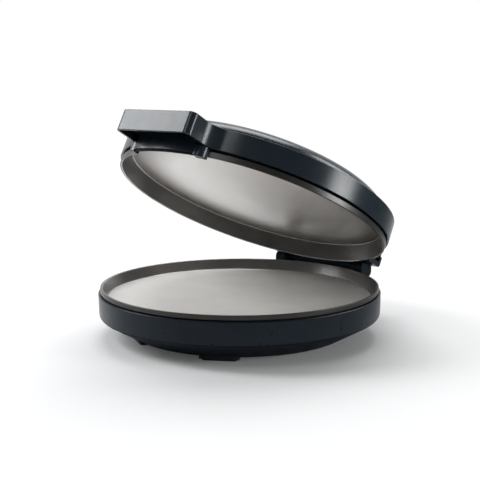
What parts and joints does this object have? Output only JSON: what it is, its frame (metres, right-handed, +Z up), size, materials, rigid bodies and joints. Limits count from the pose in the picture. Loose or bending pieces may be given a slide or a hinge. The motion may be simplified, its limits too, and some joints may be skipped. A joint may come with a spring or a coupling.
{
  "type": "electric pizza maker",
  "caption": "Round electric countertop cooker with a heated base plate and a heated domed lid on a rear hinge, with a front handle on the lid.",
  "frame": {"origin": "on the standing surface, under the middle of the whole outline with the lid open 29 degrees; the centre of the round base lies 14.9 mm in front of it", "axes": "+Z up, -Y towards the handle (front), +Y towards the hinge, +X right seen from the front"},
  "size_m": [0.34, 0.3697, 0.2732],
  "materials": {
    "casing": "satin, moulded",
    "lid": "satin, moulded",
    "dome": "satin, moulded",
    "foot": "matt",
    "pad": "matt",
    "plate": "satin non-stick coating",
    "heater": "drawn tube",
    "sheet": "plated sheet",
    "reflector": "bright sheet",
    "ceramic": "glazed",
    "wire": "insulated wire",
    "screw": "zinc plated",
    "black_screw": "blackened",
    "pin": "ground",
    "insulation": "mineral felt",
    "lens_red": "clear moulded",
    "lens_green": "clear moulded",
    "lamp": "neon lamp"
  },
  "bodies": {
    "base": {"base_casing": "casing", "bottom_cover": "casing", "foot_front_left": "foot", "foot_front_right": "foot", "foot_rear_left": "foot", "foot_rear_right": "foot", "foot_pads": "pad", "lower_plate": "plate", "lower_heater": "heater", "lower_heater_clips": "sheet", "lower_reflector": "reflector", "lower_thermostat": "ceramic", "lower_thermostat_bracket": "sheet", "thermal_fuse": "ceramic", "terminal_block": "ceramic", "base_wiring": "wire", "cord_gland": "pad", "cover_screws": "screw", "lower_plate_screws": "screw", "hinge_pin_left": "pin", "hinge_pin_right": "pin", "hinge_washers": "pin"},
    "lid": {"lid_ring": "lid", "lid_dome": "dome", "handle_cover": "casing", "finger_guard": "lid", "hinge_barrel": "casing", "upper_plate": "plate", "upper_heater": "heater", "upper_heater_clips": "sheet", "upper_reflector": "reflector", "lid_insulation": "insulation", "upper_thermostat": "ceramic", "upper_thermostat_bracket": "sheet", "power_lens": "lens_red", "ready_lens": "lens_green", "power_lamp": "lamp", "ready_lamp": "lamp", "lid_wiring": "wire", "upper_plate_screws": "screw", "reflector_screw": "screw", "handle_screws": "black_screw", "hinge_screws": "black_screw"}
  },
  "joints": [
    {"name": "lid_hinge", "type": "hinge", "parent": "base", "child": "lid", "pos_m": [0, 0.16212, 0.0625], "axis": [-1, 0, 0], "range_deg": [-29, 61]}
  ]
}
